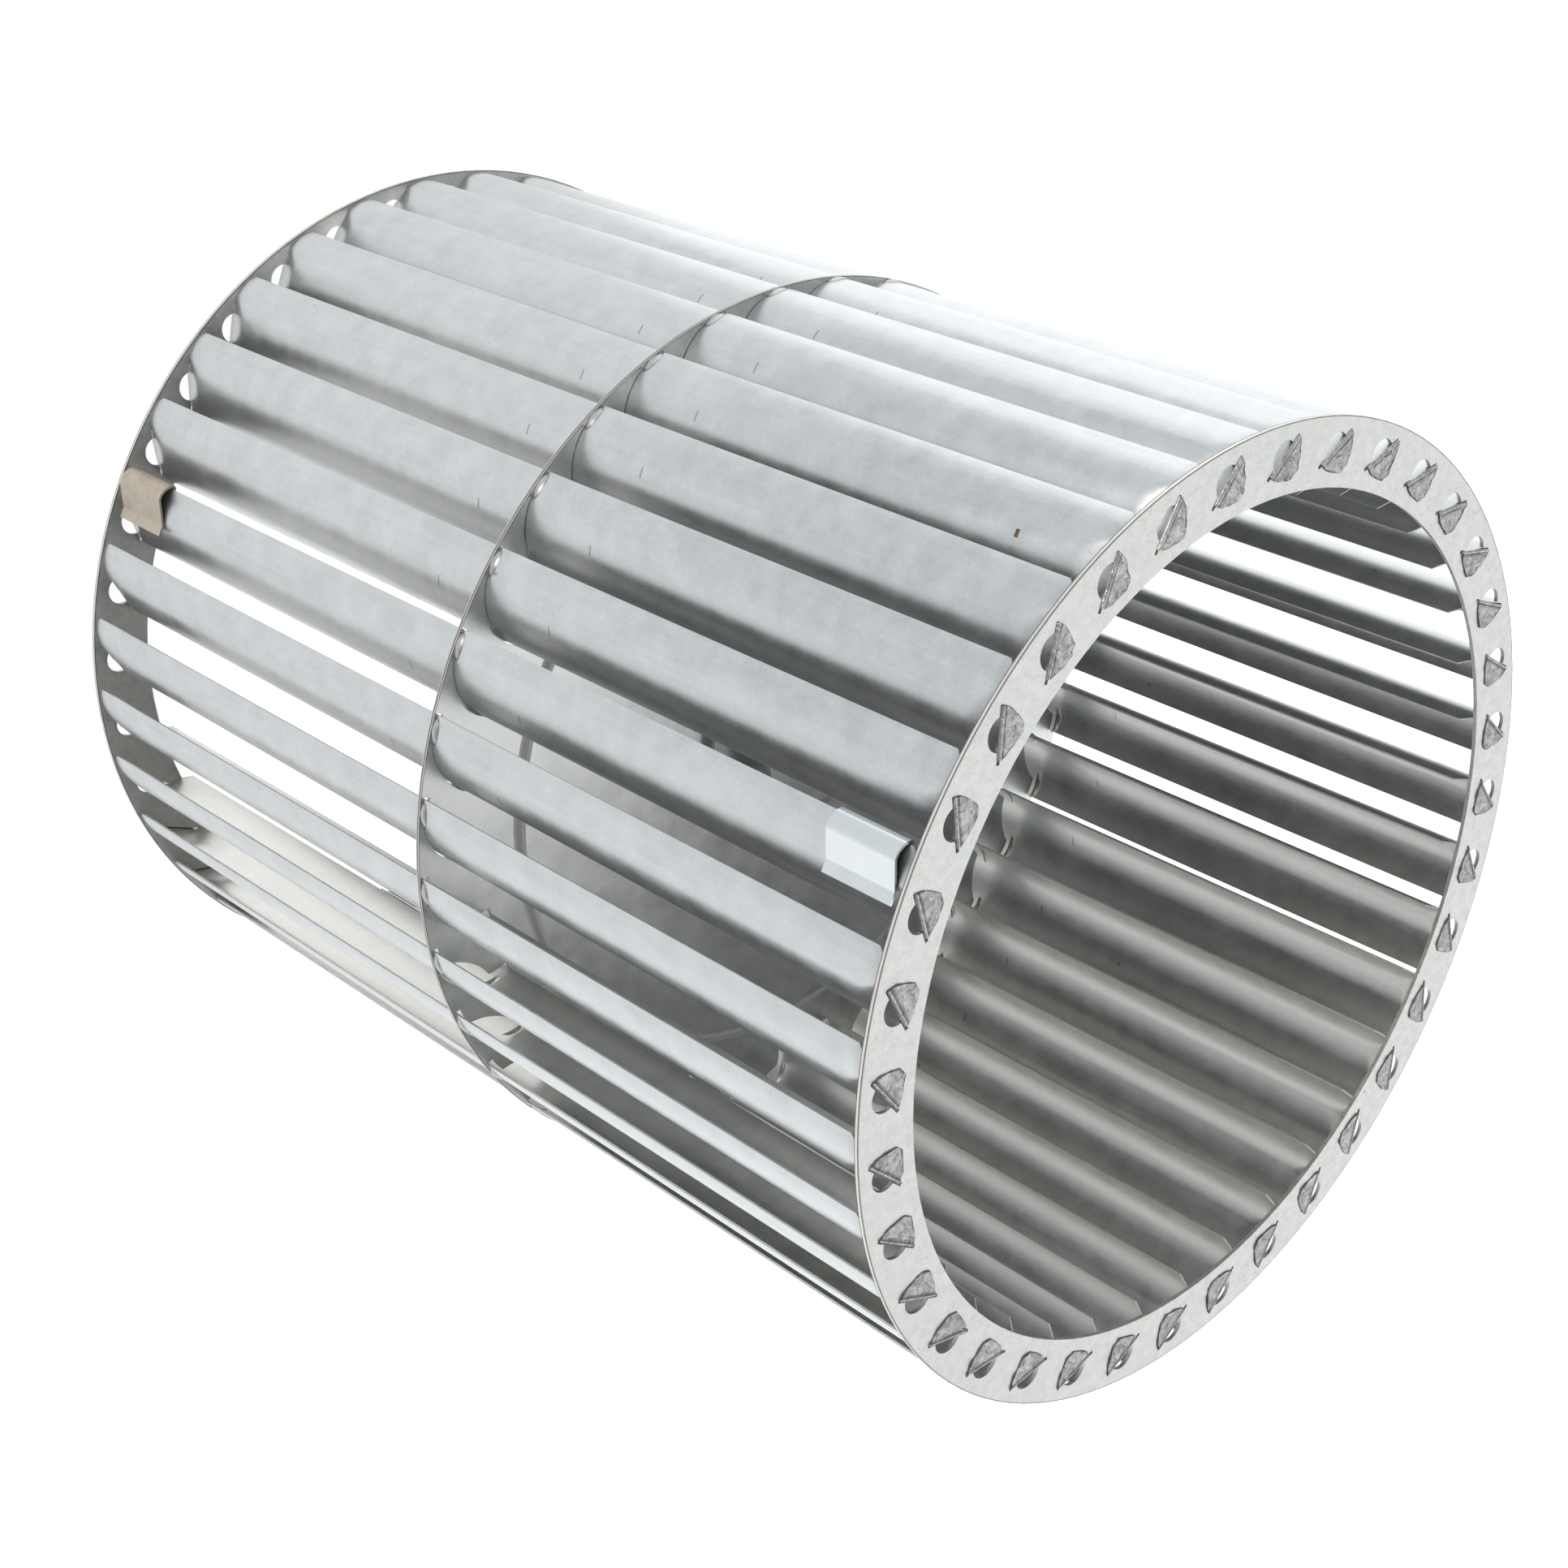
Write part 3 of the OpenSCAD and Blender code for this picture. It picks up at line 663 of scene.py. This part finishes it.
        # Painted shadow: the tabs' cut edges are painted dark, standing for the cut edge and the contact
        # shadow round each tab
        shade = Sheet("tab cut edge and painted shadow", 0.6)
        shade.shader.inputs["Base Color"].default_value = (*scaled(0.5, look.tab_dark), 1.0)
        # Painted highlight: the cut edges are painted lighter than the sheet
        sheared = galvanised("sheared edge with painted highlight", tuple(look.edge_highlight_light), tuple(look.edge_highlight_dark), 3.0, 0.5)
        for part in (metal, hammered_tab(look), shade, sheared):
            sheet.data.materials.append(part.material)

    def mark_faces(self, sheet, size):
        """Gives the tabs their materials and marks the faces on the blade's hollow side."""
        hollow = []
        for f in sheet.data.polygons:
            away = f.center.x * f.normal.x + (f.center.y - self.arc_y) * f.normal.y
            hollow.append(1.0 if away < 0 else 0.0)
            beyond = max(-f.center.z, f.center.z - size.length) - size.ring_t
            side_on = abs(f.normal.z) < 0.5 and f.center.y < size.root_rise - size.sheet - size.fold_r
            if beyond > 0:
                # The tabs' side faces take the dark edge that also paints their contact shadow
                f.material_index = self.TAB_EDGE if side_on else self.TAB_FACE
        sheet.data.attributes.new("hollow", "FLOAT", "FACE").data.foreach_set("value", hollow)

    def copy_round(self, context, sheet, size):
        """Puts a copy in each blade's place and dents its tabs where it stands."""
        crumple = bpy.data.textures.new("tab crumple", "CLOUDS")
        crumple.noise_scale = mm(2.2)
        crumple.noise_depth = 1
        crumple.contrast = 2.0
        crumple.use_clamp = True
        for i, node in enumerate(BLADES):
            piece = sheet.copy()
            piece.data = sheet.data.copy()
            piece.name = piece.data.name = node + "_sheet"
            context.scene.collection.objects.link(piece)
            piece.data.transform(blade_seat(size, i + 1))
            for spot in piece.data.attributes["flat"].data:
                spot.vector.y = i * BLADE_APART
            apply(piece, "DISPLACE", "crumple", vertex_group="tab", direction="NORMAL", texture=crumple,
                  texture_coords="LOCAL", strength=size.wrinkle, mid_level=1.0)
            start_clean()
            piece.select_set(True)
            context.view_layer.objects.active = piece
            bpy.ops.object.shade_smooth_by_angle(angle=math.radians(40))
            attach(piece, "root")
            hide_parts(node)

    def execute(self, context):
        look, size = context.scene.wheel_finish, context.scene.blade_sizes
        self.mid_r = size.curve_r - size.sheet / 2
        self.arc_half = half_turn(size)
        self.arc_y = curve_middle(size).y
        self.tab_x = -size.tab_shift
        sheet = self.curved_sheet(size)
        self.press_ends(sheet, size)
        for z, outward in ((0.0, -1), (size.length, 1)):
            self.cut_corner(sheet, size, self.arc_half, size.tip_corner, z, outward)
            self.cut_corner(sheet, size, -self.arc_half, size.heel_corner, z, outward)
            self.fold_tab(sheet, size, z, outward)
        bpy.ops.mesh.select_all(action="SELECT")
        bpy.ops.mesh.remove_doubles(threshold=mm(0.005))
        bpy.ops.mesh.normals_make_consistent(inside=False)
        self.weigh(sheet, size)
        first = min(sheet.data.polygons, key=lambda f: abs(f.center.x) + abs(f.center.z - size.length / 4))
        bead_side = 1 if first.normal.y > 0 else -1
        apply(sheet, "DISPLACE", "beads", vertex_group="bead", strength=bead_side * size.bead_rise,
              mid_level=0.0)
        self.dress(sheet, look)
        apply(sheet, "SOLIDIFY", "thickness", thickness=size.sheet, offset=0.0, use_even_offset=True,
              material_offset_rim=self.CUT_EDGE)
        face_outwards()
        seated = [v.index for v in sheet.data.vertices
                  if max(-v.co.z, v.co.z - size.length) < size.ring_t + size.sheet / 2]
        sheet.vertex_groups["tab"].remove(seated)
        self.mark_faces(sheet, size)
        self.copy_round(context, sheet, size)
        bpy.data.objects.remove(sheet)
        return {"FINISHED"}


class WHEEL_OT_rings(bpy.types.Operator):
    """Gives the end rings and the centre disc their galvanised sheet"""

    bl_idname = "wheel.rings"
    bl_label = "Finish the rings and the disc"

    def execute(self, context):
        look = context.scene.wheel_finish
        ring = galvanised("ring sheet", tuple(look.ring_light), tuple(look.ring_dark), 3.0, 0.45,
                          speckle=0.2, streak=0.0)
        cut_edge(ring, WHEEL_R, tuple(look.ring_light), tuple(look.edge_tone))
        disc = galvanised("disc sheet", tuple(look.disc_light), tuple(look.disc_dark), 9.0, 0.36,
                          speckle=0.1, streak=0.0)
        cut_edge(disc, WHEEL_R, tuple(look.ring_dark), tuple(look.edge_tone))
        lighten_and_dull_step(disc, tuple(look.disc_light))
        for name in RINGS:
            finish(name, ring.material)
        finish("centre_disc", disc.material)
        return {"FINISHED"}


class WHEEL_OT_hub(bpy.types.Operator):
    """Gives the hub, its rivets and its set screw their metal"""

    bl_idname = "wheel.hub"
    bl_label = "Finish the hub"

    def execute(self, context):
        look = context.scene.wheel_finish
        turned = Sheet("turned hub steel", 0.32)
        rings = turned.noise((1 / mm(12), 1 / mm(12), 1 / mm(0.25)), 2.0)
        turned.paint(turned.ramp(rings, [(0.3, tuple(look.hub_dark)), (0.7, tuple(look.hub_light))]))
        turned.bump(rings, 0.4, mm(0.03))
        rivets = galvanised("rivet zinc", tuple(look.rivet_light), tuple(look.rivet_dark), 2.0, 0.38,
                            speckle=0.1, streak=0.0)
        black = Sheet("blackened screw", 0.45)
        patch = black.noise((1 / mm(1.5),) * 3)
        black.paint(black.ramp(patch, [(0.3, tuple(look.screw_dark)), (0.7, tuple(look.screw_light))]))
        black.bump(patch, 0.3, mm(0.05))
        finish("hub", turned.material)
        finish("hub_rivets", rivets.material)
        finish("hub_set_screw", black.material)
        return {"FINISHED"}


class WHEEL_OT_clips(bpy.types.Operator):
    """Bends the two balance clips out of bright and tan strip"""

    bl_idname = "wheel.clips"
    bl_label = "Make the balance clips"

    def bent_strip(self, size, clip, length):
        """Draws the middle line of the section as it is bent, then draws it out along the blade."""
        edge = half_turn(size)
        edge_middle = on_curve(size, size.curve_r - size.sheet / 2, edge)
        inner_r = size.curve_r - size.sheet - clip.gap - clip.sheet / 2
        strip = lone_point(on_curve(size, inner_r, clip.back))
        wind(clip.back - clip.seat, curve_middle(size), 4)

        at = on_curve(size, inner_r, clip.seat)
        arm = clip.bend_r * Vector((-math.sin(edge), -math.cos(edge), 0))
        bpy.ops.mesh.extrude_vertices_move(TRANSFORM_OT_translate={"value": edge_middle + arm - at})
        wind(clip.bend_turn, edge_middle, 24)
        arm.rotate(Matrix.Rotation(clip.bend_turn, 4, "Z"))
        shoulder = edge_middle + arm * (1 - clip.shoulder_r / clip.bend_r)
        wind(clip.shoulder_turn, shoulder, 14)

        arm = clip.shoulder_r * arm.normalized()
        arm.rotate(Matrix.Rotation(clip.shoulder_turn, 4, "Z"))
        at = shoulder + arm
        for radius, angle in ((size.curve_r + clip.gap + clip.sheet / 2, clip.kink),
                              (size.curve_r + clip.lip_rise, clip.lip)):
            place = on_curve(size, radius, angle)
            bpy.ops.mesh.extrude_vertices_move(TRANSFORM_OT_translate={"value": place - at})
            at = place
        bpy.ops.mesh.select_all(action="SELECT")
        bpy.ops.mesh.extrude_edges_move(TRANSFORM_OT_translate={"value": (0, 0, length)})
        bpy.ops.mesh.select_all(action="SELECT")
        bpy.ops.mesh.normals_make_consistent(inside=False)
        return strip

    def execute(self, context):
        look, size, clip = context.scene.wheel_finish, context.scene.blade_sizes, context.scene.clip_sizes
        bright = galvanised("bright clip zinc", tuple(look.bright_light), tuple(look.bright_dark), 6.0, 0.20,
                            speckle=-0.1, streak=0.0, relief=0.02)
        tan = galvanised("tan clip zinc", tuple(look.tan_light), tuple(look.tan_dark), 4.0, 0.5,
                         speckle=0.05, streak=0.0)
        for node, zinc, slot in (("front_balance_clip", bright, "clip_bright"),
                                 ("back_balance_clip", tan, "clip_tan")):
            low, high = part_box(node)
            strip = self.bent_strip(size, clip, high.z - low.z)
            strip.name = strip.data.name = node + "_strip"
            apply(strip, "SOLIDIFY", "thickness", thickness=clip.sheet, offset=0.0, use_even_offset=True)
            face_outwards()
            raised = Matrix.Translation((0, 0, low.z - size.foot))
            strip.data.transform(blade_seat(size, clip.on_blade) @ raised)
            bpy.ops.object.shade_smooth_by_angle(angle=math.radians(8))
            strip.data.materials.append(zinc.material)
            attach(strip, "root")
            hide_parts(node)
        return {"FINISHED"}


class WHEEL_OT_stage(bpy.types.Operator):
    """Sets up the floor, the lights and the camera"""

    bl_idname = "wheel.stage"
    bl_label = "Set up the studio"

    def paper_glow(self, paper, studio):
        """Light that the paper gives: full on the lit side and under the wheel, dim on the shaded side."""
        x, y = (paper.part_of(axis) for axis in "XY")
        way = Vector(studio.dusk_way).normalized()
        reach = paper.maths("ADD", paper.maths("MULTIPLY", x, way.x), paper.maths("MULTIPLY", y, way.y))
        near, far = studio.dusk_reach
        fade = paper.maths("MULTIPLY", paper.maths("ADD", reach, far), 1 / (2 * far))
        share = studio.plain_glow / studio.floor_glow
        glow = paper.ramp(fade, [(0.1, studio.far_glow),
                                 (0.5 + 0.15 * near / far, share),
                                 (0.5 + 0.5 * near / far, share),
                                 (1.0, scaled(share, studio.dusk_colour))])
        lit_from, lit_rise, rim_fade = -0.08, 6.0, mm(25)
        lit_side = paper.maths("MULTIPLY", paper.maths("SUBTRACT", x, lit_from), lit_rise)
        glow = paper.mix("LIGHTEN", 1.0, glow, paper.ramp(lit_side, [(0.0, 0.0), (1.0, 1.0)]))
        inside = paper.maths("SUBTRACT", WHEEL_R, paper.radius(x, y))
        under = paper.maths("MULTIPLY", inside, 1 / rim_fade)
        return paper.mix("LIGHTEN", 1.0, glow, paper.ramp(under, [(0.0, 0.0), (1.0, 1.0)]))

    def add_floor(self, studio):
        """Lays a square of faintly mottled paper that glows."""
        bpy.ops.object.select_all(action="DESELECT")
        bpy.ops.mesh.primitive_plane_add(size=studio.floor_size, location=(0, 0, 0))
        floor = bpy.context.object
        floor.name = "floor"
        paper = Sheet("floor paper", 0.9, 0.0)
        fibre = paper.noise((40.0,) * 3, 3.0)
        tone = tuple(studio.floor_colour)
        paper.paint(paper.ramp(fibre, [(0.3, scaled(0.99, tone)), (0.7, tone)]))
        paper.link(self.paper_glow(paper, studio), paper.shader.inputs["Emission Color"])
        paper.shader.inputs["Emission Strength"].default_value = studio.floor_glow
        floor.data.materials.append(paper.material)

    def soft_box(self, name, place, target, size, power, colour=(1.0, 1.0, 1.0)):
        """Adds a soft rectangular light that faces its target."""
        bpy.ops.object.light_add(type="AREA", location=place)
        lamp = bpy.context.object
        lamp.name = name
        lamp.data.shape = "RECTANGLE"
        lamp.data.size, lamp.data.size_y = size
        lamp.data.energy = power
        lamp.data.color = colour
        lamp.rotation_euler = (target - place).to_track_quat("-Z", "Y").to_euler()

    def add_lights(self, context, studio):
        """Adds the even light of the room and three soft boxes."""
        world = bpy.data.worlds.new("studio room")
        world.use_nodes = True
        room = world.node_tree.nodes["Background"]
        room.inputs["Color"].default_value = (*studio.sky_colour, 1.0)
        room.inputs["Strength"].default_value = studio.sky
        context.scene.world = world

        middle, top = Vector((0.0, 0.0, WHEEL_TOP / 2)), Vector((0.0, 0.0, WHEEL_TOP))
        turn = Euler(studio.camera_turn).to_matrix()
        right, up, back = turn.col[0], turn.col[1], turn.col[2]
        self.soft_box("top softbox", middle + 1.3 * up + 0.3 * back + 0.2 * right, middle, (1.6, 1.2),
                      studio.top_power)
        self.soft_box("front softbox", middle + 1.6 * back + 0.5 * up - 0.6 * right, middle, (0.8, 0.8),
                      studio.front_power, tuple(studio.front_tint))
        self.soft_box("ring card", top + 1.7 * Vector((0.67, -0.37, 0.64)), top, (1.7, 1.7),
                      studio.card_power)

    def add_camera(self, context, studio):
        """Adds the camera where the photo was taken from."""
        camera = bpy.data.objects.new("camera", bpy.data.cameras.new("camera"))
        context.scene.collection.objects.link(camera)
        camera.location = studio.camera_at
        camera.rotation_euler = studio.camera_turn
        camera.data.lens = studio.camera_lens
        camera.data.sensor_width = 36.0
        camera.data.shift_x, camera.data.shift_y = studio.camera_shift
        camera.data.clip_start = 0.01
        context.scene.camera = camera

    def execute(self, context):
        studio = context.scene.wheel_studio
        self.add_floor(studio)
        self.add_lights(context, studio)
        self.add_camera(context, studio)
        context.scene.view_settings.view_transform = "Standard"
        return {"FINISHED"}


class WHEEL_PT_panel(bpy.types.Panel):
    """Lists the wheel's operators and settings in the sidebar."""

    bl_idname = "WHEEL_PT_panel"
    bl_label = "Blower wheel"
    bl_space_type = "VIEW_3D"
    bl_region_type = "UI"
    bl_category = "Wheel"

    def draw(self, context):
        layout = self.layout
        for operator in OPERATORS:
            layout.operator(operator.bl_idname)
        scene = context.scene
        for group in (scene.wheel_finish, scene.blade_sizes, scene.clip_sizes, scene.wheel_studio):
            box = layout.box()
            for name in group.__annotations__:
                box.prop(group, name)


OPERATORS = [WHEEL_OT_blades, WHEEL_OT_rings, WHEEL_OT_hub, WHEEL_OT_clips, WHEEL_OT_stage]
CLASSES = [WheelFinish, BladeSizes, ClipSizes, WheelStudio, *OPERATORS, WHEEL_PT_panel]


def register():
    for cls in CLASSES:
        bpy.utils.register_class(cls)
    bpy.types.Scene.wheel_finish = bpy.props.PointerProperty(type=WheelFinish)
    bpy.types.Scene.blade_sizes = bpy.props.PointerProperty(type=BladeSizes)
    bpy.types.Scene.clip_sizes = bpy.props.PointerProperty(type=ClipSizes)
    bpy.types.Scene.wheel_studio = bpy.props.PointerProperty(type=WheelStudio)


def unregister():
    del bpy.types.Scene.wheel_studio
    del bpy.types.Scene.clip_sizes
    del bpy.types.Scene.blade_sizes
    del bpy.types.Scene.wheel_finish
    for cls in reversed(CLASSES):
        bpy.utils.unregister_class(cls)


def main():
    register()
    bpy.ops.wheel.blades()
    bpy.ops.wheel.rings()
    bpy.ops.wheel.hub()
    bpy.ops.wheel.clips()
    bpy.ops.wheel.stage()


if __name__ == "__main__":
    main()
